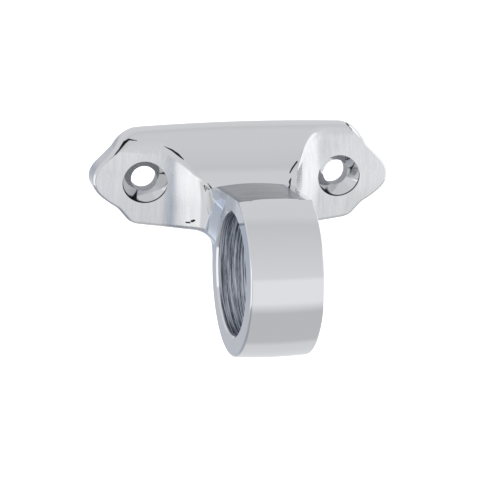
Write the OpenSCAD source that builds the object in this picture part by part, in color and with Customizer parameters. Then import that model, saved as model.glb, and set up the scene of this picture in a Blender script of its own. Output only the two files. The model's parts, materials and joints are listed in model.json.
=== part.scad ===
// Fairlead chock: a two-hole wall bracket that carries a closed ring on a short neck.
// The origin is on the back face of the plate, midway between the screw holes.
// X runs along the plate, the ring stands out towards -Y, and Z is up.

/* [Plate] */
// Length of the plate over its two nose tips
plate_length = 64; // [56:0.5:80]
// Height of the plate at its middle
plate_height = 22.1; // [20:0.1:24]
// Distance between the top corners of the plate
corner_span = 49.6; // [46:0.1:52]
// How much lower the top edge is at the corners than at the middle
edge_crown = 0.7; // [0:0.1:1.5]
// How much deeper the plate reaches above the screw line than below it
top_offset = 0.05; // [0:0.05:0.6]
// Radius of each nose
nose_r = 3.8; // [3.2:0.1:4.5]
// Half of the height at which each sloping edge runs into its nose
nose_shoulder = 4.1; // [3.6:0.1:4.6]
// Radius that leads each sloping edge into its nose
nose_fillet_r = 5; // [2:0.1:6]

/* [Roof] */
// Radius of the top edge
top_edge_r = 2.9; // [2:0.1:3.4]
// Distance in front of the back face at which the top edge starts to round over
roof_setback = 1; // [0.6:0.1:1.4]
// Slope of the roof below the horizontal under its top edge
roof_slope = 57; // [55:0.5:59]
// Length of the straight part of the roof
roof_straight = 3.1; // [2.4:0.1:3.6]
// Radius of the hollow in which the roof runs out to its foot
roof_hollow_r = 18; // [16:0.5:20]
// Slope of the roof below the horizontal at its foot
foot_slope = 28; // [26:0.5:30]

/* [Wings] */
// Thickness of the left wing at its screw hole
left_wing_t = 6.2; // [5:0.1:7]
// Thickness of the right wing at its screw hole
right_wing_t = 5; // [4.6:0.1:6.5]
// Outward lean of each wing face and of its screw hole
wing_lean = 6; // [0:0.5:8]
// Radius of the hollow between each wing face and the neck
hollow_r = 10; // [8:0.5:11]
// Distance from each screw hole's centre to the start of the hollow
hollow_gap = 3.3; // [3:0.1:4]

/* [Screw holes] */
// Distance between the screw hole centres at the wing faces
hole_spacing = 42.1; // [40:0.1:46]
// Diameter of the through holes
hole_d = 5.4; // [4.5:0.1:6]
// Diameter of the countersinks at the wing faces
sink_d = 9.5; // [8:0.1:10]
// Included angle of the countersinks
sink_angle = 82; // [80:1:92]

/* [Ring] */
// Diameter of the bore
bore_d = 25.4; // [24:0.1:26]
// Outer diameter of the ring
ring_d = 34.5; // [33.5:0.1:35.5]
// Width of the ring along its bore
ring_width = 15.4; // [14:0.1:17]
// Distance of the middle of the ring to the right of the middle of the plate
ring_shift = 0.35; // [0:0.1:0.8]
// Distance of the bore axis in front of the back face
ring_reach = 27.8; // [27:0.1:29]
// Distance of the bore axis below the screw line
ring_drop = 13.95; // [13.5:0.05:14.5]
// Chamfer at each mouth of the bore
bore_chamfer = 0.4; // [0.2:0.05:0.8]
// Chamfer at the outer edges of the ring
ring_edge = 0.6; // [0.2:0.05:1]

/* [Neck] */
// Slope at which the dressed land rises from the foot of the roof to the crest of the ring
land_slope = 6.2; // [5.4:0.1:6.6]
// Radius under the neck, between the lower edge of the plate and the back of the ring
underside_r = 5; // [3.5:0.25:6]
// Half of the width of the neck where it runs down behind the ring
neck_foot_half = 7.7; // [7:0.1:8.5]
// Radius between the lower edge of the plate and each side of the neck
neck_foot_r = 2.5; // [1.5:0.1:4]

/* [Hidden] */
$fn = 96;
far = 100;
plate_top = plate_height / 2 + top_offset;
plate_bottom = plate_top - plate_height;
top_centre = [roof_setback, plate_top - top_edge_r];
roof_top = top_centre + top_edge_r * [sin(roof_slope), cos(roof_slope)];
roof_bend = roof_top + roof_straight * [cos(roof_slope), -sin(roof_slope)];
roof_centre = roof_bend + roof_hollow_r * [sin(roof_slope), cos(roof_slope)];
roof_foot = roof_centre - roof_hollow_r * [sin(foot_slope), cos(foot_slope)];
sink_r = sink_d / 2;
hole_r = hole_d / 2;
sink_depth = (sink_r - hole_r) / tan(sink_angle / 2);
bore_r = bore_d / 2;
ring_r = ring_d / 2;
neck_half = hole_spacing / 2 - hollow_gap - hollow_r * (1 - sin(wing_lean));
seat_t = ring_reach - 4;
arc_steps = 24;

// Point under the fillet, on the roof's line carried on past its foot
function under_fillet(front) = [front, roof_foot[1] - (front - roof_foot[0]) * tan(foot_slope)];

// Points of an arc from one angle to another
function arc(centre, r, from, to) =
    [for (i = [0 : arc_steps]) let (a = from + (to - from) * i / arc_steps)
        centre + r * [cos(a), sin(a)]];

// Points of a shallow crown from x0 to x1 at height z, bulging by crown in the middle
function crown_edge(x0, x1, z, crown) =
    [for (i = [0 : arc_steps]) let (x = x0 + (x1 - x0) * i / arc_steps)
        [x, z - crown * pow(x / (corner_span / 2), 2)]];

// Extrudes a profile drawn in X and Z through the thickness of the part, front to back
module through_y(depth) {
    rotate([90, 0, 0]) linear_extrude(depth) children();
}

// Extrudes a side profile, drawn as distance in front of the back face and height, along X
module along_x(width) {
    translate([-width / 2, 0, 0]) rotate([90, 0, 90]) linear_extrude(width) mirror([1, 0]) children();
}

// Front outline of the plate with the foot of the neck below it
module outline() {
    offset(r = -neck_foot_r) offset(delta = neck_foot_r) union() {
        plate_outline();
        translate([-neck_foot_half, plate_bottom - underside_r]) square([2 * neck_foot_half, plate_height / 2]);
    }
}

// Front outline of the plate: a crowned hexagon with a round nose at each end
module plate_outline() {
    half = corner_span / 2;
    nose_x = plate_length / 2 - nose_r;
    shoulder_x = nose_x + 0.6;
    offset(r = 1.2) offset(delta = -1.2)
        offset(r = -nose_fillet_r) offset(delta = nose_fillet_r)
            union() {
                polygon(concat(
                    crown_edge(-half, half, plate_top, edge_crown),
                    [[shoulder_x, nose_shoulder], [shoulder_x, -nose_shoulder]],
                    crown_edge(half - 1, -half + 1, plate_bottom, -1.6 * edge_crown),
                    [[-shoulder_x, -nose_shoulder], [-shoulder_x, nose_shoulder]]));
                for (side = [-1, 1]) translate([side * nose_x, 0]) circle(r = nose_r);
            }
}

// Side profile of the bracket: roof with its rounded top edge, and a hollow curve under the neck
module side_profile() {
    low = plate_bottom + 0.15;
    hollow_z = low - underside_r;
    hollow_t = ring_reach - sqrt(pow(ring_r + underside_r, 2) - pow(hollow_z + ring_drop, 2));
    run_out = arc([hollow_t, hollow_z], underside_r, 90, 12);
    polygon(concat([[-1, low]], run_out,
        [[seat_t, run_out[arc_steps][1]], under_fillet(seat_t)],
        arc(roof_centre, roof_hollow_r, 270 - foot_slope, 270 - roof_slope),
        arc(top_centre, top_edge_r, 90 - roof_slope, 90), [[-1, plate_top]]));
}

// Everything in front of one wing face and beside the neck, drawn from above
module wing_cut(side, wing_t) {
    face = [hole_spacing / 2, -wing_t];
    along_face = [1, tan(wing_lean)];
    centre = face - hollow_gap * along_face + hollow_r * [sin(wing_lean), -cos(wing_lean)];
    linear_extrude(far, center = true) mirror([side < 0 ? 1 : 0, 0])
        polygon(concat(arc(centre, hollow_r, 90 + wing_lean, 180),
            [centre - [hollow_r, far], centre + [far, -far], face + far * along_face]));
}

// Countersunk screw hole, leaning outwards with its wing face
module screw_hole(side, wing_t) {
    translate([side * hole_spacing / 2, -wing_t, 0]) rotate([90, 0, side * wing_lean]) {
        translate([0, 0, -far / 2]) cylinder(h = far, r = hole_r);
        translate([0, 0, -sink_depth]) cylinder(h = 2 * sink_depth, r1 = hole_r, r2 = 2 * sink_r - hole_r);
    }
}

// Round bar on the axis of the ring
module ring_bar(r, width) {
    translate([ring_shift - width / 2, -ring_reach, -ring_drop]) rotate([0, 90, 0]) cylinder(h = width, r = r);
}

// Everything above the land that is dressed across the fillet and the crest of the ring
module above_land() {
    translate([-far / 2, -roof_foot[0], roof_foot[1]]) rotate([-land_slope, 0, 0])
        translate([0, -far, 0]) cube([far, far + 20, far]);
}

module bracket() {
    color("gainsboro") difference() {
        intersection() {
            through_y(seat_t) outline();
            along_x(plate_length + 2) side_profile();
        }
        wing_cut(-1, left_wing_t);
        wing_cut(1, right_wing_t);
        screw_hole(-1, left_wing_t);
        screw_hole(1, right_wing_t);
        ring_bar(ring_r, far);
    }
}

module ring() {
    color("silver") difference() {
        intersection() {
            ring_bar(ring_r, ring_width);
            translate([ring_shift - ring_width / 2, -ring_reach, -ring_drop]) rotate([0, 90, 0]) union() {
                cylinder(h = ring_edge, r1 = ring_r - ring_edge, r2 = ring_r);
                translate([0, 0, ring_edge]) cylinder(h = ring_width - 2 * ring_edge, r = ring_r + 1);
                translate([0, 0, ring_width - ring_edge])
                    cylinder(h = ring_edge, r1 = ring_r, r2 = ring_r - ring_edge);
            }
        }
        ring_bar(bore_r, far);
        for (side = [-1, 1]) bore_mouth(side);
        above_land();
    }
}

// Chamfer that opens one mouth of the bore
module bore_mouth(side) {
    translate([ring_shift + side * ring_width / 2, -ring_reach, -ring_drop]) rotate([0, side * 90, 0])
        translate([0, 0, -bore_chamfer]) cylinder(h = bore_chamfer + 1, r1 = bore_r, r2 = bore_r + bore_chamfer + 1);
}

// Wedge of brazing metal between the foot of the roof and the top of the ring, dressed flat
module braze_fillet() {
    color("lightslategray") difference() {
        along_x(2 * neck_half - 0.4)
            polygon([roof_foot, under_fillet(seat_t), [seat_t, roof_foot[1] + 4], roof_foot + [0, 4]]);
        ring_bar(ring_r, far);
        above_land();
    }
}

bracket();
ring();
braze_fillet();
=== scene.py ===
"""Looks of the fairlead chock: a polished, chromed wall bracket with a ring, on a plain white floor."""

import json
import math

import bpy
import numpy as np
from mathutils import Matrix, Vector


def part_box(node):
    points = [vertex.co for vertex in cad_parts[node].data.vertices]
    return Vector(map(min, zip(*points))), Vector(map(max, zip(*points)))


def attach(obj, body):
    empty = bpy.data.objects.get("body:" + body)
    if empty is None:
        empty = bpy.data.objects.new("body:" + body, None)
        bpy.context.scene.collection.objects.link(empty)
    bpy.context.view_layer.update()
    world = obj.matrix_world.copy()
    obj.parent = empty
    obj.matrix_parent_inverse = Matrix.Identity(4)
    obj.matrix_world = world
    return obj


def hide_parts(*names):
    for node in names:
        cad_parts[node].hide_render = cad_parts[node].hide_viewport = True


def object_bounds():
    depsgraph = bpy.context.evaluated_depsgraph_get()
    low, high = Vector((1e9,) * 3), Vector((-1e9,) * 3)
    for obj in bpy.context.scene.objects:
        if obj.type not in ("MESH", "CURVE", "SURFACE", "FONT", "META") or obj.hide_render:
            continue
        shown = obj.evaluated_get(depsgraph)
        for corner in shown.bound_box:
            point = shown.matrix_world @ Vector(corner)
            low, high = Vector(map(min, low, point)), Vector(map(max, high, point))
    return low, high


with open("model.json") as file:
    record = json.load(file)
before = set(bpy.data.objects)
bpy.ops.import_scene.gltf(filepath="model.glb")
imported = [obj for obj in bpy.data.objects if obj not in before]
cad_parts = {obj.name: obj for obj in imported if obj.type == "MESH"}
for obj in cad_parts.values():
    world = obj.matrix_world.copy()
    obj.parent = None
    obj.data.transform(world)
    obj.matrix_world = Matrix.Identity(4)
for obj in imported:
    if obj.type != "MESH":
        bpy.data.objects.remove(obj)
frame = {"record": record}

cad_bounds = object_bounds()

MM = 0.001


# ---------------------------------------------------------------- the frame, in millimetres
def box_mm(node):
    """Lowest and highest corner of a CAD node."""
    low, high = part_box(node)
    return np.array(low) / MM, np.array(high) / MM


MOUNTS = {mount["name"]: mount for mount in frame["record"]["mounts"]}
PLATE_LOW, PLATE_HIGH = box_mm("bracket")
RING_LOW, RING_HIGH = box_mm("ring")

BORE = MOUNTS["ring_bore"]
BORE_R = BORE["dims"]["r_mm"]
RING_T = -BORE["pos_m"][1] / MM
RING_Z = BORE["pos_m"][2] / MM
RING_MID = (RING_HIGH[0] + RING_LOW[0]) / 2
RING_HALF = (RING_HIGH[0] - RING_LOW[0]) / 2
RING_R = -RING_LOW[1] - RING_T
NOSE_TIP = PLATE_HIGH[0]
TOP = PLATE_HIGH[2]

# ---------------------------------------------------------------- shape of the casting, in millimetres
# Front outline of the plate. Each sloping edge is the angle of the direction square to it, in degrees
# above the horizontal, and its distance from the middle of the plate. A crown is how much an edge falls
# or rises at CROWN_X from its middle.
NOSE_R = 3.8
NOSE_FILLET = 3.0
NOSE_CUT = NOSE_TIP - 2.4
TIP_R = 2.0
EDGE_UP = (34.2, 26.2)
EDGE_DOWN = (-41.2, 23.9)
BOTTOM = -11.15
BOTTOM_CROWN = 1.7
TOP_CROWN = 0.6
TOP_CROWN_MID = 4.0
TOP_CROWN_Z = (0, 9)
CROWN_X = 24.0
# The right end sits a little lower than the left one, and the left one is a little shorter.
NOSE_DROP = 0.4
NOSE_DROP_X = (8, 28)
LEFT_TRIM = 0.2
LEFT_TRIM_X = (20, 30)

# Side line of the roof: its top edge, then runs of a length and the degrees by which each flattens.
TOP_R = 2.9
TOP_SETBACK = 1.0
TOP_ARC_START = 120
TOP_ARC_POINTS = 24
ROOF_SLOPE = 57.0
ROOF_RUNS = ((3.1, 0.0), (4.1, 11.0), (2.6, 13.0), (3.0, 5.0))
STEPS_PER_DEGREE = 1.5
RUN_ON = 14

# Ground faces of the wings: their outward lean in degrees and the heights over which it fades away,
# their backward lean above the screw line and below UNDERCUT_Z in millimetres per millimetre, and the
# radii of their edges.
FACE_LEAN = 6.0
LEAN_FADE_Z = (9, 2)
FACE_BACK = 0.18
FACE_UNDERCUT = 0.09
UNDERCUT_Z = -3.0
FACE_BEND = 1.5
FACE_EDGE_R = 0.6
TOP_CORNER_R = 2.2
LOW_CORNER_R = 1.2
ROOF_EDGE_R = 0.6

# Sides of the neck, which spread from the ends of the ring with the distance from the ring's axis, and
# the step that facing the ends of the ring has cut into them.
FLANK_R0 = 14.3
FLANK_RISE = 0.22
FLANK_CREASE_R = 1.5
STEP_R = 16.5
STEP_SLOPE = 0.6
STEP_EDGE_R = 0.3
CHEEK_R = FLANK_R0 - 0.4
CHEEK_T = 15.0
CHEEK_FADE = 0.14

# Underside: the rib behind the ring, the hollow above it and the draft under the plate and neck.
UNDER_R = 6.0
UNDER_Z = -11.0
KEEL_INSET = 0.1
KEEL_EDGE_R = 1.0
KEEL_FILLET = 3.6
BOTTOM_DRAFT = 0.2
DRAFT_T = 5.0
LOW_EDGE_R = 0.8

# Joint of neck, brazing metal and ring: how far pieces reach into each other where it can't be seen, how
# far the brazing metal stays below the casting, and the land dressed over it.
SEAT_DEPTH = 0.3
JOINT_STEP = 0.015
FILLET_BACK = 2.0
LAND_SLOPE = 6.2
LAND_CROWN = 0.5
LAND_ENDS = (-7.6, 6.9)

# Countersinks: radius at the ground face, and included angle in degrees.
SINK_R = 4.75
SINK_ANGLE = 82.0

# The turned ring: radius of its outer edges, how much thinner it is at its ends, and its bore's chamfer.
RING_EDGE_R = 0.5
RING_CROWN = 0.3
BORE_CHAMFER = 0.38


def round_max(a, b, r):
    """Intersection of two fields whose shared edge is rounded with radius r."""
    return np.minimum(-r, np.maximum(a, b)) + np.hypot(np.maximum(a + r, 0), np.maximum(b + r, 0))


def round_min(a, b, r):
    """Union of two fields with a fillet of radius r between them."""
    return -round_max(-a, -b, r)


def smooth_step(low, high, value):
    """0 below low, 1 above high, and a smooth rise between them."""
    share = np.clip((value - low) / (high - low), 0, 1)
    return share * share * (3 - 2 * share)


def soft_positive(value):
    """The value where it is above zero, and zero below, with a soft bend between."""
    return (value + np.hypot(value, FACE_BEND)) / 2


def face_back(z):
    """How far the ground faces lean back above the screw line and below UNDERCUT_Z."""
    return FACE_BACK * soft_positive(z) + FACE_UNDERCUT * soft_positive(UNDERCUT_Z - z)


def roof_chain():
    """Points of the roof from the wall to its foot and beyond, as distances from the wall and heights."""
    points = []
    for angle in np.linspace(TOP_ARC_START, 90 - ROOF_SLOPE, TOP_ARC_POINTS):
        a = math.radians(angle)
        points.append((TOP_SETBACK + TOP_R * math.cos(a), TOP - TOP_R + TOP_R * math.sin(a)))
    slope = ROOF_SLOPE
    for length, turn in ROOF_RUNS:
        steps = max(1, round(turn * STEPS_PER_DEGREE))
        for _ in range(steps):
            slope -= turn / steps / 2
            a = math.radians(slope)
            slope -= turn / steps / 2
            t, z = points[-1]
            points.append((t + length / steps * math.cos(a), z - length / steps * math.sin(a)))
    foot = points[-1]
    a = math.radians(slope)
    points.append((foot[0] + RUN_ON * math.cos(a), foot[1] - RUN_ON * math.sin(a)))
    return np.array(points), foot


ROOF, FOOT = roof_chain()


def roof_table(step=0.1, t_range=(-8, 34), z_range=(-26, 20)):
    t = np.arange(*t_range, step)
    z = np.arange(*z_range, step)
    tt, zz = np.meshgrid(t, z, indexing="ij")
    best = np.full(tt.shape, 1e9)
    sign = np.ones(tt.shape)
    for (t0, z0), (t1, z1) in zip(ROOF[:-1], ROOF[1:]):
        dt, dz = t1 - t0, z1 - z0
        share = np.clip(((tt - t0) * dt + (zz - z0) * dz) / (dt * dt + dz * dz), 0, 1)
        away = np.hypot(tt - t0 - share * dt, zz - z0 - share * dz)
        side = dt * (zz - z0) - dz * (tt - t0)
        closer = away < best - 1e-9
        best = np.where(closer, away, best)
        sign = np.where(closer, np.where(side > 0, 1.0, -1.0), sign)
    return t, z, best * sign


ROOF_T, ROOF_Z, ROOF_D = roof_table()


def roof_distance(t, z):
    """Distance above the roof line, by bilinear lookup."""
    step = ROOF_T[1] - ROOF_T[0]
    i = np.clip((t - ROOF_T[0]) / step, 0, len(ROOF_T) - 1.001)
    j = np.clip((z - ROOF_Z[0]) / step, 0, len(ROOF_Z) - 1.001)
    i0, j0 = i.astype(int), j.astype(int)
    u, v = i - i0, j - j0
    low = ROOF_D[i0, j0] * (1 - v) + ROOF_D[i0, j0 + 1] * v
    high = ROOF_D[i0 + 1, j0] * (1 - v) + ROOF_D[i0 + 1, j0 + 1] * v
    return low * (1 - u) + high * u


def sloping_edge(ax, z, angle, reach):
    """Distance outside a sloping edge, ax being the distance from the middle along X."""
    return ax * math.cos(math.radians(angle)) + z * math.sin(math.radians(angle)) - reach


def bottom_edge(x):
    """Height of the crowned lower edge of the plate."""
    return BOTTOM + BOTTOM_CROWN * (x / CROWN_X) ** 2


def outline(x, z):
    """Front outline of the plate without its top edge: a hexagon with a round nose at each end."""
    ax = np.abs(x) + LEFT_TRIM * smooth_step(*LEFT_TRIM_X, -x)
    z = z + NOSE_DROP * smooth_step(*NOSE_DROP_X, x)
    upper = sloping_edge(ax, z, *EDGE_UP)
    lower = sloping_edge(ax, z, *EDGE_DOWN)
    flat = round_max(round_max(upper, ax - NOSE_CUT, TIP_R), lower, TIP_R)
    flat = round_max(flat, bottom_edge(x) - z, LOW_CORNER_R)
    nose = np.hypot(ax - NOSE_TIP + NOSE_R, z) - NOSE_R
    return round_min(flat, nose, NOSE_FILLET)


def roof(x, t, z):
    """Roof with its rounded top edge, which is lower towards the ends of the plate."""
    drop = TOP_CROWN * ((x - TOP_CROWN_MID) / CROWN_X) ** 2 * smooth_step(*TOP_CROWN_Z, z)
    return roof_distance(t, z + drop)


def ring_radius(t, z):
    """Distance from the axis of the bore."""
    return np.hypot(t - RING_T, z - RING_Z)


def beside_ring(x):
    """Distance outside the nearer end face of the ring."""
    return np.abs(x - RING_MID) - RING_HALF


def ring_solid(x, t, z):
    """Field of the ring as a full disc."""
    return np.maximum(ring_radius(t, z) - RING_R, beside_ring(x))


class Wing:
    """One wing: its screw hole, its ground face and the facet that leads from it to the neck.

    The facet passes through facet_x and facet_t, turned by facet_angle degrees out of the plate.
    """

    def __init__(self, side, mount, facet_x, facet_t, facet_angle, hollow_r):
        self.side = side
        self.hole_x = abs(mount["pos_m"][0]) / MM
        self.hole_t = -mount["pos_m"][1] / MM
        self.hole_r = mount["dims"]["r_mm"]
        self.lean = math.radians(FACE_LEAN)
        self.length = mount["dims"]["length_mm"]
        self.sink_depth = (SINK_R - self.hole_r) / math.tan(math.radians(SINK_ANGLE / 2))
        self.face_offset = self.length / 2 + self.sink_depth
        self.facet = (facet_x, facet_t, math.radians(facet_angle))
        self.hollow_r = hollow_r

    def face(self, x, t, z):
        """Distance in front of the ground face."""
        outwards = (x * self.side - self.hole_x) * math.sin(self.lean) * smooth_step(*LEAN_FADE_Z, z)
        return outwards + (t + face_back(z) - self.hole_t) * math.cos(self.lean) - self.face_offset

    def rim(self, x, y, z):
        """Distance from the rim of the countersink, measured across the hole's axis."""
        return self.off_axis(x, y, z) - SINK_R + face_back(z) * math.tan(math.radians(SINK_ANGLE / 2))

    def off_axis(self, x, y, z):
        """Distance from the axis of the screw hole."""
        across = (x * self.side - self.hole_x) * math.cos(self.lean) + (y + self.hole_t) * math.sin(self.lean)
        return np.hypot(across, z)

    def keep(self, x, t, z):
        """Field of what is left behind the ground face and beside the neck."""
        facet_x, facet_t, angle = self.facet
        facet = (x * self.side - facet_x) * math.sin(angle) + (t + face_back(z) - facet_t) * math.cos(angle)
        rise = FLANK_RISE * (ring_radius(t, z) - FLANK_R0) - CHEEK_FADE * np.maximum(t - CHEEK_T, 0)
        flank = (beside_ring(x) - rise) * math.cos(math.atan(FLANK_RISE))
        neck = round_min(facet, flank, FLANK_CREASE_R)
        return round_min(self.face(x, t, z), neck, self.hollow_r)


LEFT = Wing(-1, MOUNTS["left_screw_hole"], 13.0, 8.2, 44.0, 1.9)
RIGHT = Wing(1, MOUNTS["right_screw_hole"], 12.2, 8.0, 48.0, 2.3)


def keel(x, t, z):
    """Rib that runs down behind the ring."""
    under = round_min(UNDER_Z - z, RING_T - RING_R + KEEL_INSET - t, UNDER_R)
    return round_max(beside_ring(x) + JOINT_STEP, under, KEEL_EDGE_R)


def between_wings(x, t, z):
    """Field of what the grinding of both wing faces leaves."""
    return np.maximum(LEFT.keep(x, t, z), RIGHT.keep(x, t, z))


def blank(x, t, z):
    """Casting and fillet as one, up to the land and the ground faces."""
    draft = BOTTOM_DRAFT * np.maximum(t - DRAFT_T, 0)
    body = round_max(outline(x, z), between_wings(x, t, z), FACE_EDGE_R)
    return round_max(body, bottom_edge(x) + draft - z, LOW_EDGE_R)


def bracket_field(x, y, z):
    """Signed field of the casting; negative inside."""
    t = -y
    top = roof(x, t, z)
    ends = round_max(outline(x, z), top, TOP_CORNER_R)
    arches = round_max(between_wings(x, t, z), top, ROOF_EDGE_R)
    body = np.maximum(blank(x, t, z), np.maximum(ends, arches))
    body = round_min(body, np.maximum(keel(x, t, z), top), KEEL_FILLET)
    body = np.maximum(np.maximum(body, top), -t)
    radius = ring_radius(t, z)
    faced = (beside_ring(x) - STEP_SLOPE * (radius - FLANK_R0)) * math.cos(math.atan(STEP_SLOPE))
    body = round_max(body, np.minimum(STEP_R - radius, faced), STEP_EDGE_R)
    return np.maximum(np.maximum(body, -ring_solid(x, t, z) - SEAT_DEPTH), CHEEK_R - ring_radius(t, z))


def land_height(x, t):
    """Height of the dressed land over the foot of the roof."""
    rise = (t - FOOT[0]) * math.tan(math.radians(LAND_SLOPE))
    return FOOT[1] + rise - LAND_CROWN * ((x - RING_MID) / RING_HALF) ** 2


def fillet_field(x, y, z):
    """Signed field of the brazing metal between neck and ring."""
    t = -y
    land = (z - land_height(x, t)) * math.cos(math.radians(LAND_SLOPE)) + JOINT_STEP
    body = np.maximum(blank(x, t, z) + JOINT_STEP, land)
    under = np.maximum(-roof(x, t, z), -ring_solid(x, t, z)) - SEAT_DEPTH
    beyond = np.maximum(FOOT[0] - FILLET_BACK - t, CHEEK_R - ring_radius(t, z))
    return np.maximum(np.maximum(body, under), beyond)


# ---------------------------------------------------------------- meshes
# How firmly a cell's point is held at the middle of its crossings, and the flattest slope it trusts.
PLANE_PULL = 0.05
LEAST_SLOPE = 0.3
# How strongly the larger faces set the shading of a shared corner.
NORMAL_WEIGHT = 90

# Corners and edges of a cell.
CUBE = [(i, j, k) for i in (0, 1) for j in (0, 1) for k in (0, 1)]
CUBE_EDGES = [(a, b) for a in range(8) for b in range(a + 1, 8)
              if sum(abs(p - q) for p, q in zip(CUBE[a], CUBE[b])) == 1]


def slope_of(field, points, reach=0.005):
    """Gradient of field at points, by central differences."""
    return np.stack([field(*(points + reach * d).T) - field(*(points - reach * d).T)
                     for d in np.eye(3)], 1) / (2 * reach)


def cell_points(field, low, step, cells, values):
    """One point per cell, where the surface's tangent planes in the cell meet, so that edges stay sharp."""
    corner_values = np.stack([values[tuple((cells + c).T)] for c in CUBE], 1)
    crossings = []
    sums = np.zeros((len(cells), 3))
    hits = np.zeros(len(cells))
    for a, b in CUBE_EDGES:
        va, vb = corner_values[:, a], corner_values[:, b]
        rows = np.flatnonzero((va < 0) != (vb < 0))
        share = (va[rows] / (va[rows] - vb[rows]))[:, None]
        points = low + step * (cells[rows] + np.array(CUBE[a]) * (1 - share) + np.array(CUBE[b]) * share)
        crossings.append((rows, points))
        np.add.at(sums, rows, points)
        np.add.at(hits, rows, 1)
    middle = sums / hits[:, None]
    normals_squared = np.tile(np.eye(3) * PLANE_PULL, (len(cells), 1, 1))
    pulls = np.zeros((len(cells), 3))
    for rows, points in crossings:
        slope = slope_of(field, points)
        size = np.maximum(np.linalg.norm(slope, axis=1), LEAST_SLOPE)
        normal = slope / size[:, None]
        away = (normal * (points - middle[rows])).sum(1) - field(*points.T) / size
        np.add.at(normals_squared, rows, normal[:, :, None] * normal[:, None, :])
        np.add.at(pulls, rows, normal * away[:, None])
    move = np.linalg.solve(normals_squared, pulls[:, :, None])[:, :, 0]
    return middle + np.clip(move, -step, step)


def surface_net(field, low, high, step):
    """Vertices and quads of a mesh on the zero surface of field."""
    counts = np.ceil((np.array(high) - low) / step).astype(int) + 1
    axes = [low[i] + step * np.arange(counts[i]) for i in range(3)]
    values = field(*np.meshgrid(*axes, indexing="ij"))
    inside = values < 0
    nx, ny, nz = counts - 1
    total = np.zeros((nx, ny, nz), np.int8)
    for i, j, k in CUBE:
        total += inside[i:nx + i, j:ny + j, k:nz + k]
    cells = np.argwhere((total > 0) & (total < 8))
    index = np.full((nx, ny, nz), -1, np.int64)
    index[tuple(cells.T)] = np.arange(len(cells))
    quads = []
    for axis in range(3):
        u, v = (axis + 1) % 3, (axis + 2) % 3
        first = [slice(1, counts[i] - 1) for i in range(3)]
        second = list(first)
        first[axis] = slice(0, counts[axis] - 1)
        second[axis] = slice(1, counts[axis])
        a, b = inside[tuple(first)], inside[tuple(second)]
        start = np.array([s.start for s in first])
        for edges, order in ((np.argwhere(a & ~b), 1), (np.argwhere(b & ~a), -1)):
            corners = []
            for du, dv in ((0, 0), (-1, 0), (-1, -1), (0, -1)):
                cell = edges + start
                cell[:, u] += du
                cell[:, v] += dv
                corners.append(index[tuple(cell.T)])
            quads.append(np.stack(corners, 1)[:, ::order])
    return cell_points(field, low, step, cells, values), np.concatenate(quads)


def add_mesh(name, points, faces):
    """A mesh object from points in millimetres and quads that close a solid, turned to face outwards."""
    points, faces = np.asarray(points, float), np.asarray(faces)
    a, b, c, d = (points[faces[:, i]] for i in range(4))
    volume = (a * np.cross(b, c)).sum() + (a * np.cross(c, d)).sum()
    if volume < 0:
        faces = faces[:, ::-1]
    mesh = bpy.data.meshes.new(name)
    mesh.from_pydata((points * MM).tolist(), [], faces.tolist())
    mesh.validate()
    obj = bpy.data.objects.new(name, mesh)
    bpy.context.scene.collection.objects.link(obj)
    return obj


def lathe(name, profile, steps):
    """Closed solid of revolution round X from (x, radius) points that go round its section."""
    count = len(profile)
    angles = np.arange(steps) * math.tau / steps
    points = [(x, r * math.cos(a), r * math.sin(a)) for a in angles for x, r in profile]
    faces = [(i * count + j, i * count + (j + 1) % count,
              (i + 1) % steps * count + (j + 1) % count, (i + 1) % steps * count + j)
             for i in range(steps) for j in range(count)]
    return add_mesh(name, points, faces)


def arc_points(cx, cr, radius, start, end, steps):
    """Points of an arc in a lathe profile, angles in degrees from the X axis."""
    return [(cx + radius * math.cos(math.radians(a)), cr + radius * math.sin(math.radians(a)))
            for a in np.linspace(start, end, steps + 1)]


def cut(obj, cutter):
    """Takes cutter out of obj and leaves the result in obj's mesh."""
    boolean = obj.modifiers.new("cut", "BOOLEAN")
    boolean.operation = "DIFFERENCE"
    boolean.solver = "EXACT"
    boolean.object = cutter
    depsgraph = bpy.context.evaluated_depsgraph_get()
    done = bpy.data.meshes.new_from_object(obj.evaluated_get(depsgraph))
    obj.modifiers.clear()
    old = obj.data
    obj.data = done
    bpy.data.meshes.remove(old)
    bpy.data.objects.remove(cutter)


def shade(obj, angle):
    """Smooth shading with edges that turn by more than angle, in degrees, left sharp."""
    obj.data.shade_smooth()
    obj.data.set_sharp_from_angle(angle=math.radians(angle))
    weighted = obj.modifiers.new("weighted_normals", "WEIGHTED_NORMAL")
    weighted.keep_sharp = True
    weighted.weight = NORMAL_WEIGHT


def points_mm(obj):
    """Vertex positions of a mesh in millimetres."""
    co = np.zeros(len(obj.data.vertices) * 3)
    obj.data.vertices.foreach_get("co", co)
    return co.reshape(-1, 3) / MM


def centres_mm(obj):
    """Face centres of a mesh in millimetres."""
    centres = np.zeros(len(obj.data.polygons) * 3)
    obj.data.polygons.foreach_get("center", centres)
    return centres.reshape(-1, 3) / MM


def mask(obj, name, values, domain="POINT"):
    """Stores one number per vertex or face for the materials to read."""
    attribute = obj.data.attributes.new(name, "FLOAT", domain)
    attribute.data.foreach_set("value", np.asarray(values, np.float32))


# ---------------------------------------------------------------- pieces
CELL = 0.2
# Space between a piece and the edges of its grid; odd amounts keep the grid off the flat faces.
CASTING_SPACE = (1.13, 1.17)
FILLET_SPACE = (3.03, 3.07)
CAST_EDGE_ANGLE = 32
TURNED_EDGE_ANGLE = 30
HOLE_STEPS = 128
RING_STEPS = 256
RING_EDGE_STEPS = 8
CROWN_POINTS = 25
LAND_POINTS = 41


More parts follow.
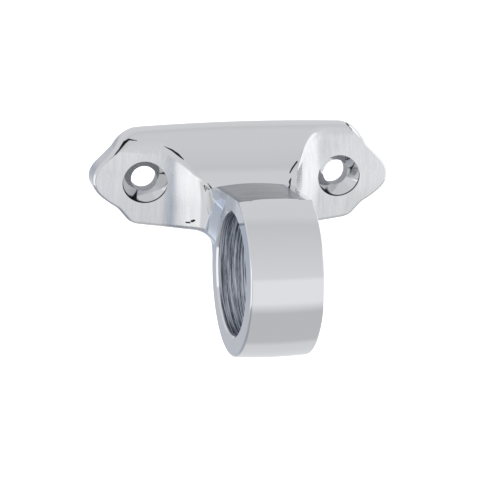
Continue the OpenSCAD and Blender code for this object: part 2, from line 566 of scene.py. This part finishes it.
def hole_cutter(wing, reach_back=30, reach_out=6, core=0.001):
    """Cutter for a screw hole with its countersink, along the leaning axis of the wing."""
    spread = math.tan(math.radians(SINK_ANGLE / 2))
    base = wing.length / 2
    front = base + reach_out
    profile = [(-reach_back, core), (-reach_back, wing.hole_r), (base, wing.hole_r),
               (front, wing.hole_r + reach_out * spread), (front, core)]
    cutter = lathe("hole_cutter", profile, HOLE_STEPS)
    axis = Vector((wing.side * math.sin(wing.lean), -math.cos(wing.lean), 0))
    across = Vector((0, 0, 1))
    turn = Matrix((axis, axis.cross(across) * -1, across)).transposed()
    place = Vector((wing.side * wing.hole_x, -wing.hole_t, 0)) * MM
    cutter.matrix_world = Matrix.Translation(place) @ turn.to_4x4()
    bpy.context.view_layer.update()
    return cutter


def make_bracket():
    """The casting: plate, wings, roof and neck."""
    low = np.minimum(PLATE_LOW, (0, -RING_T, 0)) - CASTING_SPACE[0]
    high = PLATE_HIGH + CASTING_SPACE[1]
    bracket = add_mesh("bracket_casting", *surface_net(bracket_field, low, high, CELL))
    for wing in (LEFT, RIGHT):
        cut(bracket, hole_cutter(wing))
    shade(bracket, CAST_EDGE_ANGLE)
    return bracket


def make_ring():
    """The turned ring with its rounded edges, chamfered bore and dressed crest."""
    half, edge, chamfer = RING_HALF, RING_EDGE_R, BORE_CHAMFER
    outer = [(x, RING_R - RING_CROWN * (x / half) ** 2)
             for x in np.linspace(half - edge, -half + edge, CROWN_POINTS)]
    arc_r = outer[0][1] - edge
    profile = arc_points(half - edge, arc_r, edge, 0, 90, RING_EDGE_STEPS)[:-1] + outer
    profile += arc_points(-half + edge, arc_r, edge, 90, 180, RING_EDGE_STEPS)[1:]
    profile += [(-half, BORE_R + chamfer), (-half + chamfer, BORE_R)]
    profile += [(half - chamfer, BORE_R), (half, BORE_R + chamfer)]
    ring = lathe("turned_ring", profile, RING_STEPS)
    ring.data.transform(Matrix.Translation(Vector((RING_MID, -RING_T, RING_Z)) * MM))
    cut(ring, land_cutter())
    shade(ring, TURNED_EDGE_ANGLE)
    return ring


def land_cutter(overhang=2, top=12):
    """Solid above the dressed land, crowned along X."""
    half = RING_HALF + overhang
    xs = RING_MID + np.linspace(-half, half, LAND_POINTS)
    ts = (FOOT[0], RING_T + RING_R)
    points = [(x, -t, land_height(x, t)) for x in xs for t in ts]
    points += [(x, -t, top) for x in xs for t in ts]
    n = len(xs)
    faces = []
    for i in range(n - 1):
        a, b = 2 * i, 2 * i + 2
        faces.append((a, b, b + 1, a + 1))
        faces.append((a + 2 * n, a + 1 + 2 * n, b + 1 + 2 * n, b + 2 * n))
        faces.append((a, a + 2 * n, b + 2 * n, b))
        faces.append((a + 1, b + 1, b + 1 + 2 * n, a + 1 + 2 * n))
    faces.append((0, 1, 1 + 2 * n, 2 * n))
    last = 2 * n - 2
    faces.append((last, last + 2 * n, last + 1 + 2 * n, last + 1))
    return add_mesh("land_cutter", points, faces)


def make_fillet():
    """The brazing metal, dressed to the land."""
    low, high = box_mm("braze_fillet")
    net = surface_net(fillet_field, low - FILLET_SPACE[0], high + FILLET_SPACE[1], CELL)
    fillet = add_mesh("dressed_fillet", *net)
    shade(fillet, CAST_EDGE_ANGLE)
    return fillet


# ---------------------------------------------------------------- marks and painted shade lines on the casting, in millimetres
# Painted shade: near-black lines along creases and edges of the polished casting, each a line of points:
# place along X, height and half of the width.
CREASE_SHADE_LINES = (((-28.4, 4.5, 0.03), (-26.4, 6.4, 0.1), (-25.1, 7.85, 0.22), (-24.2, 8.45, 0.14),
          (-22.5, 8.25, 0.03)),
         ((-17.0, 7.15, 0.03), (-15.35, 6.4, 0.16), (-14.2, 5.6, 0.22), (-13.2, 4.75, 0.08)),
         ((11.0, 3.9, 0.12), (9.6, 2.75, 0.12), (8.9, 2.1, 0.08)),
         ((8.9, 1.35, 0.06), (8.35, 0.75, 0.17), (8.25, 0.3, 0.1)),
         ((-9.1, 0.95, 0.04), (-8.65, 0.3, 0.15), (-8.4, 0.05, 0.1)),
         ((-11.5, -8.0, 0.22), (-11.1, -7.7, 0.2)),
         ((-12.5, -8.5, 0.14), (-11.9, -8.4, 0.16)),
         ((23.0, 10.3, 0.15), (23.3, 10.0, 0.1)))
# The same kind of painted shade line in both countersinks, as distances from the screw hole.
SINK_SHADE_LINE = ((-1.5, -2.35, 0.07), (-2.6, -3.2, 0.04))
# Distance stored where there is no painted shade line, and how far from the wall the painted shade lines
# begin.
NO_SHADE_LINE = 9.0
FRONT_T = 1.0
# Painted shade line under each countersink: half of its width, and the heights over which it thins out and
# ends.
RIM_LINE = 0.09
RIM_LINE_Z = (1.5, -2.5)
RIM_END = 0.3
RIM_END_Z = (0, 3)
# Brushed marks: how far from the middle they start, how far from the outline they stop, and how quickly
# they end off the ground faces.
BRUSHED_FROM = 9.8
POLISHED_EDGE = 0.5
FACE_BLEND = 1.4
# How far a face's centre may lie from a surface and still belong to it, and how far the masks of the
# countersinks, the faced step and the faced ends reach past or stop short of their edges.
NEAR_FACE = 0.01
NEAR_BORE = 0.005
NEAR_LAND = 0.03
NEAR_END = 0.05
SINK_REACH = 0.3
FACED_RIM = 0.35
MOUTH_RIM = 0.45


def shade_line_distance(x, z):
    """Distance from the edge of the nearest painted shade line, seen from the front."""
    best = np.full(x.shape, NO_SHADE_LINE)
    in_sinks = [[(x0 + hole_x, z0, width) for x0, z0, width in SINK_SHADE_LINE]
                for hole_x in (-LEFT.hole_x, RIGHT.hole_x)]
    for shade_line in [*CREASE_SHADE_LINES, *in_sinks]:
        for (x0, z0, w0), (x1, z1, w1) in zip(shade_line[:-1], shade_line[1:]):
            dx, dz = x1 - x0, z1 - z0
            share = np.clip(((x - x0) * dx + (z - z0) * dz) / (dx * dx + dz * dz), 0, 1)
            away = np.hypot(x - x0 - share * dx, z - z0 - share * dz)
            best = np.minimum(best, away - w0 - share * (w1 - w0))
    return best


def rim_shade_distance(x, y, z):
    """Distance from the edge of the painted shade line under each countersink, which thins out upwards."""
    rim = np.minimum(np.abs(LEFT.rim(x, y, z)), np.abs(RIGHT.rim(x, y, z)))
    return rim - RIM_LINE * smooth_step(*RIM_LINE_Z, z) + RIM_END * smooth_step(*RIM_END_Z, z)


# ---------------------------------------------------------------- materials
class Tree:
    """Short way to add and join shader nodes."""

    def __init__(self, owner):
        owner.use_nodes = True
        self.tree = owner.node_tree
        self.tree.nodes.clear()

    def add(self, kind, inputs=None, **settings):
        """Adds a node; an input is a value or another node's output."""
        node = self.tree.nodes.new(kind)
        for key, value in settings.items():
            setattr(node, key, value)
        for key, value in (inputs or {}).items():
            if isinstance(value, bpy.types.NodeSocket):
                self.tree.links.new(value, node.inputs[key])
            else:
                node.inputs[key].default_value = value
        return node

    def maths(self, operation, a, b=0.0):
        """Output of a maths node."""
        return self.add("ShaderNodeMath", {0: a, 1: b}, operation=operation).outputs[0]

    def ramp(self, value, start, end, low=0.0, high=1.0):
        """Value carried from start..end to low..high, and held there beyond them."""
        return self.add("ShaderNodeMapRange", {0: value, 1: start, 2: end, 3: low, 4: high}).outputs[0]

    def scaled(self, colour, share):
        """Colour times a number."""
        return self.add("ShaderNodeVectorMath", {0: colour, 3: share}, operation="SCALE").outputs[0]

    def mix(self, share, a, b):
        """Output of a mix between two numbers."""
        return self.add("ShaderNodeMix", {0: share, 2: a, 3: b}, data_type="FLOAT").outputs[0]

    def mix_colour(self, share, a, b):
        """Output of a mix between two colours."""
        return self.add("ShaderNodeMix", {0: share, 6: a, 7: b}, data_type="RGBA").outputs[2]

    def streaks(self, scale, detail=3.0, rough=0.6):
        """Noise stretched by a different scale on each axis, scale in marks per millimetre."""
        place = self.add("ShaderNodeTexCoord").outputs["Object"]
        size = Vector(scale) / MM
        stretched = self.add("ShaderNodeMapping", {"Vector": place, "Scale": size}).outputs[0]
        noise = self.add("ShaderNodeTexNoise",
                         {"Vector": stretched, "Scale": 1.0, "Detail": detail, "Roughness": rough})
        return noise.outputs["Fac"]

    def place(self):
        """Outputs of the place on the part, along X, Y and Z."""
        place = self.add("ShaderNodeTexCoord").outputs["Object"]
        return self.add("ShaderNodeSeparateXYZ", {0: place}).outputs

    def attribute(self, name):
        """Output of a mask that was stored on the mesh."""
        return self.add("ShaderNodeAttribute", attribute_name=name).outputs["Fac"]


CHROME = (0.72, 0.72, 0.72, 1)
# Painted reflection: bluer tones on the faced ends of the ring, the fillet and the casting; on the ring and
# the fillet it fades away downwards.
RING_END_REFLECTION = (0.5, 0.54, 0.61, 1)
FILLET_END_REFLECTION = (0.66, 0.71, 0.79, 1)
CASTING_END_REFLECTION = (0.82, 0.88, 0.96, 1)
FACED_ROUGHNESS = 0.22
REFLECTION_FADE_Z = (-22, -6)
# Painted shade: colour of the near-black shade lines, and how softly their edges blur.
SHADE_LINE_COLOUR = (0.012, 0.013, 0.016, 1)
SHADE_LINE_BLUR = (0.07, -0.03)
DRILLED_COLOUR = (0.42, 0.43, 0.45, 1)
DRILLED_ROUGHNESS = 0.5
DRILLED_DULLNESS = 0.75
BORE_TINT = (0.92, 0.97, 1.08)
LAND_TINT = (0.97, 1.0, 1.07)
# Painted shade: the darker, bluer ends of the dressed land, and how far inside each end it begins and is
# full.
LAND_END_SHADE = (0.12, 0.16, 0.24, 1)
LAND_SHADE_BLUR = (1.3, 0.6)
# Marks per millimetre along X, Y and Z.
WAVES = (0.05, 0.11, 0.11)
BRUSHED_FINE = (3.6, 3.6, 0.08)
BRUSHED_WIDE = (1.0, 1.0, 0.03)
POLISHED = (0.12, 0.12, 0.12)
TURNED = (2.6, 0.05, 0.05)
RING_POLISHED = (0.5, 0.12, 0.12)
FILLET_POLISHED = (0.5, 0.5, 0.5)
DRESSED = (0.12, 1.6, 1.6)
# Depths of the marks, in millimetres.
WAVE_DEPTH = 0.06
BRUSHED_DEPTH = 0.006
TURNED_DEPTH = 0.03
DRESSED_DEPTH = 0.02


def chrome(name, build):
    """Chrome with the slight waves of hand polish; build returns colour, roughness, marks and their depth.

    Drilled walls are less metallic, so that they stay grey where they only mirror each other.
    """
    material = bpy.data.materials.new(name)
    tree = Tree(material)
    colour, roughness, marks, depth = build(tree)
    waves = tree.add("ShaderNodeBump", {
        "Height": tree.streaks(WAVES, 1, 0.5), "Strength": 1.0, "Distance": WAVE_DEPTH * MM})
    bump = tree.add("ShaderNodeBump", {
        "Height": marks, "Strength": 1.0, "Distance": depth * MM, "Normal": waves.outputs[0]})
    dull = tree.maths("MULTIPLY", tree.attribute("drilled"), DRILLED_DULLNESS)
    metal = tree.maths("SUBTRACT", 1.0, dull)
    shader = tree.add("ShaderNodeBsdfPrincipled", {
        "Base Color": colour, "Metallic": metal, "Roughness": roughness, "Normal": bump.outputs[0]})
    tree.add("ShaderNodeOutputMaterial", {"Surface": shader.outputs[0]})
    return material


def casting_material(tree):
    """Polish with fine scratches, painted near-black shade lines and a painted bluer reflection on the faced
    step; ground wing faces with marks along the height of the plate.
    """
    ground = tree.ramp(tree.attribute("off_brushed"), 0.3, 0.0)
    brushed = tree.maths("MULTIPLY", ground, tree.maths("SUBTRACT", 1.0, tree.attribute("sunk")))
    fine = tree.maths("MULTIPLY", tree.streaks(BRUSHED_FINE, 4, 0.7), 0.6)
    wide = tree.maths("MULTIPLY", tree.streaks(BRUSHED_WIDE, 2, 0.5), 0.4)
    marks = tree.maths("ADD", fine, wide)
    polish = tree.streaks(POLISHED, 2, 0.5)
    tone = tree.maths("MULTIPLY", tree.maths("SUBTRACT", marks, 0.5), brushed)
    level = tree.maths("ADD", 1.0, tree.maths("MULTIPLY", tone, 0.6))
    # Painted shade: near-black lines along creases and edges and under the countersinks.
    shade_line = tree.ramp(tree.attribute("shade_line"), *SHADE_LINE_BLUR)
    colour = tree.mix_colour(shade_line, tree.scaled(CHROME[:3], level), SHADE_LINE_COLOUR)
    roughness = tree.mix(brushed, tree.mix(polish, 0.03, 0.07), tree.mix(marks, 0.2, 0.34))
    end = tree.attribute("end")
    # Painted reflection: a brighter, bluer tone on the faced step beside the ring's ends.
    colour = tree.mix_colour(end, colour, CASTING_END_REFLECTION)
    roughness = tree.mix(end, roughness, FACED_ROUGHNESS)
    drilled = tree.attribute("drilled")
    colour = tree.mix_colour(drilled, colour, DRILLED_COLOUR)
    roughness = tree.mix(drilled, roughness, DRILLED_ROUGHNESS)
    return colour, roughness, tree.mix(brushed, polish, marks), BRUSHED_DEPTH


def end_reflection_colour(tree, tone):
    """Chrome, or on the faced ends of the ring and the fillet a painted bluer reflection that fades away
    downwards.
    """
    high = tree.ramp(tree.place()[2], *(z * MM for z in REFLECTION_FADE_Z))
    share = tree.maths("MULTIPLY", high, tree.attribute("end"))
    return tree.mix_colour(share, CHROME, tone)


def ring_material(tree):
    """Polish outside, coarse turned marks in the bore."""
    bore = tree.attribute("bore")
    land = tree.attribute("land")
    turned = tree.streaks(TURNED, 5, 0.8)
    fine = tree.streaks(RING_POLISHED, 3, 0.6)
    grey = tree.scaled(BORE_TINT, tree.ramp(turned, 0.45, 0.59, 0.15, 1.3))
    marks, dull = dressing(tree)
    # Painted bluer reflection on the faced ends, and painted shade at the ends of the dressed land.
    colour = tree.mix_colour(land, tree.mix_colour(bore, end_reflection_colour(tree, RING_END_REFLECTION), grey), dull)
    roughness = tree.mix(land, tree.mix(bore, tree.mix(fine, 0.02, 0.06), 0.35), tree.mix(marks, 0.1, 0.2))
    height = tree.mix(land, tree.mix(bore, tree.maths("MULTIPLY", fine, 0.1), turned), marks)
    return colour, roughness, height, TURNED_DEPTH


def land_material(tree):
    """Dressed land with marks along the plate."""
    land = tree.attribute("land")
    fine = tree.streaks(FILLET_POLISHED, 3, 0.6)
    marks, dull = dressing(tree)
    # Painted bluer reflection on the faced ends, and painted shade at the ends of the dressed land.
    colour = tree.mix_colour(land, end_reflection_colour(tree, FILLET_END_REFLECTION), dull)
    roughness = tree.mix(land, tree.mix(fine, 0.04, 0.1), tree.mix(marks, 0.1, 0.2))
    return colour, roughness, tree.mix(land, tree.maths("MULTIPLY", fine, 0.1), marks), DRESSED_DEPTH


def dressing(tree):
    """Marks along the plate, and the dull colour of the dressed land with painted shade that makes its ends
    darker and bluer.
    """
    marks = tree.streaks(DRESSED, 4, 0.65)
    dull = tree.scaled(LAND_TINT, tree.ramp(marks, 0.35, 0.65, 0.16, 0.36))
    middle = sum(LAND_ENDS) / 2
    half = (LAND_ENDS[1] - LAND_ENDS[0]) / 2
    from_middle = tree.maths("ABSOLUTE", tree.maths("SUBTRACT", tree.place()[0], middle * MM))
    # Painted shade at both ends of the dressed land.
    ends = tree.ramp(from_middle, *((half - blur) * MM for blur in LAND_SHADE_BLUR))
    return marks, tree.mix_colour(ends, dull, LAND_END_SHADE)


def mark_casting(bracket):
    """Masks of the casting: brushed, painted shade lines, countersunk, drilled and faced."""
    x, y, z = points_mm(bracket).T
    t = -y
    off_face = np.minimum(np.abs(LEFT.keep(x, t, z)), np.abs(RIGHT.keep(x, t, z)))
    beyond = np.maximum(BRUSHED_FROM - np.abs(x), outline(x, z) + POLISHED_EDGE)
    mask(bracket, "off_brushed", np.maximum(beyond, FACE_BLEND * off_face))
    # Painted shade lines along creases and edges and under the countersinks, none near the wall.
    shade_lines = np.minimum(shade_line_distance(x, z), rim_shade_distance(x, y, z))
    mask(bracket, "shade_line", np.where(t < FRONT_T, NO_SHADE_LINE, shade_lines))
    x, y, z = centres_mm(bracket).T
    off_axis = np.minimum(LEFT.off_axis(x, y, z), RIGHT.off_axis(x, y, z))
    sunk = between_wings(x, -y, z) < -NEAR_FACE
    mask(bracket, "sunk", sunk & (off_axis < SINK_R + SINK_REACH), "FACE")
    mask(bracket, "drilled", off_axis < LEFT.hole_r + NEAR_FACE, "FACE")
    faced = (ring_radius(-y, z) < STEP_R + FACED_RIM) & (z < FOOT[1])
    mask(bracket, "end", faced & (beside_ring(x) > -NEAR_END), "FACE")


def mark_joint(piece):
    """Masks of the ring or the fillet: dressed land, faced ends and bore."""
    x, y, z = centres_mm(piece).T
    radius = ring_radius(-y, z)
    on_land = np.abs(z - land_height(x, -y)) < NEAR_LAND
    at_end = (beside_ring(x) > -NEAR_END) & (radius > BORE_R + MOUTH_RIM)
    mask(piece, "land", on_land & (x > LAND_ENDS[0]) & (x < LAND_ENDS[1]), "FACE")
    mask(piece, "end", ~on_land & at_end, "FACE")
    mask(piece, "bore", radius < BORE_R + NEAR_BORE, "FACE")


def finish_piece(piece, node, slot, build):
    """Material of a piece, and its place in the frame."""
    piece.data.materials.clear()
    piece.data.materials.append(chrome(slot, build))
    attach(piece, "root")
    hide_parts(node)


# ---------------------------------------------------------------- stage, light and camera
# Surroundings over the front, top and back: direction in degrees, with 0 in front of the part, 90
# overhead and 180 behind it, and the picture level at which chrome shows them. A dark table lies under
# the part, a bright sweep rises in front of it, and the room dims gently towards the ceiling.
SKY = ((-180, 205), (-100, 200), (-90, 180), (-40, 180), (-25, 220), (5, 220), (10, 205), (85, 190),
       (100, 200))
SKY_BLUE = 4
# Lights at each side: how far to the side they start, their lowest and highest direction, and level.
RIGHT_LIGHTS = ((0.74, -2, -0.45, 170), (0.74, -0.45, 0.25, 247), (0.6, 0.25, 0.6, 247),
                (0.6, 0.6, 0.67, 40), (0.6, 0.67, 2, 197))
LEFT_LIGHTS = ((0.57, -2, -0.45, 158), (0.57, -0.45, 0.28, 247), (0.57, 0.28, 2, 200))
LIGHT_BLUR = 0.02
# The main left light is dimmer behind the part, and the surroundings are dimmer low on the left.
BEHIND_LEVEL = 205
BEHIND_Y = (-0.02, 0.06)
DIM_X = (0.05, -0.4)
DIM_Z = (0.4, 0.05)
DIM_TONE = (0.52, 0.56, 0.63)
# A colour ramp holds values up to 1, so the gradient is stored at a share of its brightness.
RAMP_SHARE = 0.5


def radiance(level):
    """Brightness of the surroundings that chrome shows at a picture level."""
    return (level / 255) ** 2.2 / CHROME[0]


def grey_light(level, blue=SKY_BLUE):
    """Colour of a slightly blue light that chrome shows at a picture level."""
    return radiance(level), radiance(level + blue / 4), radiance(level + blue), 1


def panel(tree, across, height, edge, low, high):
    """Mask of the surroundings beyond edge to one side, between two heights."""
    beyond = tree.ramp(across, edge - LIGHT_BLUR, edge + LIGHT_BLUR)
    under = tree.ramp(height, high + LIGHT_BLUR, high - LIGHT_BLUR)
    over = tree.ramp(height, low - LIGHT_BLUR, low + LIGHT_BLUR)
    return tree.maths("MULTIPLY", beyond, tree.maths("MULTIPLY", under, over))


def sky(tree, y, z):
    """Gradient over the front, top and back."""
    angle = tree.maths("ARCTAN2", z, tree.maths("MULTIPLY", y, -1.0))
    share = tree.maths("ADD", tree.maths("DIVIDE", angle, math.tau), 0.5)
    ramp = tree.add("ShaderNodeValToRGB", {0: share})
    stops = ramp.color_ramp.elements
    while len(stops) > 1:
        stops.remove(stops[0])
    for number, (degrees, level) in enumerate(SKY):
        place = degrees / 360 + 0.5
        stop = stops[0] if number == 0 else stops.new(place)
        stop.position = place
        stop.color = [RAMP_SHARE * part for part in grey_light(level)[:3]] + [1]
    return tree.scaled(ramp.outputs[0], 1 / RAMP_SHARE)


def make_world():
    """Soft studio surroundings: a gradient over the front, top and back, with bright panels at each side."""
    world = bpy.data.worlds.new("studio")
    bpy.context.scene.world = world
    tree = Tree(world)
    axis = tree.add("ShaderNodeSeparateXYZ", {0: tree.add("ShaderNodeTexCoord").outputs["Generated"]})
    x, y, z = axis.outputs
    base = sky(tree, y, z)
    dimming = tree.maths("MULTIPLY", tree.ramp(x, *DIM_X), tree.ramp(z, *DIM_Z))
    dim = tree.add("ShaderNodeVectorMath", {0: base, 1: DIM_TONE}, operation="MULTIPLY").outputs[0]
    lit = tree.mix_colour(dimming, base, dim)
    left = tree.maths("MULTIPLY", x, -1.0)
    for across, lights in ((x, RIGHT_LIGHTS), (left, LEFT_LIGHTS)):
        for *place, level in lights:
            lit = tree.mix_colour(panel(tree, across, z, *place), lit, grey_light(level))
    main_left = panel(tree, left, z, *LEFT_LIGHTS[1][:3])
    behind = tree.maths("MULTIPLY", main_left, tree.ramp(y, *BEHIND_Y))
    lit = tree.mix_colour(behind, lit, grey_light(BEHIND_LEVEL))
    seen = tree.add("ShaderNodeLightPath").outputs["Is Camera Ray"]
    shown = tree.mix_colour(seen, lit, (1, 1, 1, 1))
    background = tree.add("ShaderNodeBackground", {"Color": shown})
    tree.add("ShaderNodeOutputWorld", {"Surface": background.outputs[0]})


def make_floor(half=3.0, gap=0.05):
    """Plain white floor well below the part; the metal doesn't mirror it."""
    height = cad_bounds[0].z - gap
    corners = [(-half, -half, height), (half, -half, height), (half, half, height), (-half, half, height)]
    mesh = bpy.data.meshes.new("floor")
    mesh.from_pydata(corners, [], [(0, 1, 2, 3)])
    floor = bpy.data.objects.new("floor", mesh)
    bpy.context.scene.collection.objects.link(floor)
    material = bpy.data.materials.new("white_floor")
    tree = Tree(material)
    grain = tree.streaks((0.02, 0.02, 0.02))
    light = tree.mix_colour(grain, (1.0, 1.0, 1.0, 1), (0.97, 0.97, 0.97, 1))
    shader = tree.add("ShaderNodeBsdfPrincipled", {
        "Base Color": light, "Roughness": 0.9, "Emission Color": light, "Emission Strength": 0.6})
    tree.add("ShaderNodeOutputMaterial", {"Surface": shader.outputs[0]})
    mesh.materials.append(material)
    floor.visible_glossy = False


# View: degrees round from the front, above the horizontal and of roll, and a lens in millimetres.
AZIMUTH = -14.2
ELEVATION = 16.4
ROLL = 2.3
DISTANCE = 732.2 * MM
LENS = 262.5
AIM = Vector((-1.0, -9.17, -12.4)) * MM
CLIP = (0.01, 20)


def make_camera():
    """Long lens from the left and above, slightly rolled."""
    camera = bpy.data.objects.new("camera", bpy.data.cameras.new("camera"))
    bpy.context.scene.collection.objects.link(camera)
    camera.data.lens = LENS
    camera.data.clip_start, camera.data.clip_end = CLIP
    a, e, roll = (math.radians(value) for value in (AZIMUTH, ELEVATION, ROLL))
    back = Vector((math.sin(a) * math.cos(e), -math.cos(a) * math.cos(e), math.sin(e)))
    right = Vector((math.cos(a), math.sin(a), 0))
    up = back.cross(right)
    rolled_right = right * math.cos(roll) + up * math.sin(roll)
    rolled_up = up * math.cos(roll) - right * math.sin(roll)
    turn = Matrix((rolled_right, rolled_up, back)).transposed()
    camera.matrix_world = Matrix.Translation(AIM + back * DISTANCE) @ turn.to_4x4()
    bpy.context.scene.camera = camera


bracket = make_bracket()
ring = make_ring()
fillet = make_fillet()
mark_casting(bracket)
for joined in (ring, fillet):
    mark_joint(joined)
finish_piece(bracket, "bracket", "polished_casting", casting_material)
finish_piece(ring, "ring", "turned_ring", ring_material)
finish_piece(fillet, "braze_fillet", "dressed_fillet", land_material)
make_world()
make_floor()
make_camera()
bpy.context.scene.view_settings.view_transform = "Standard"
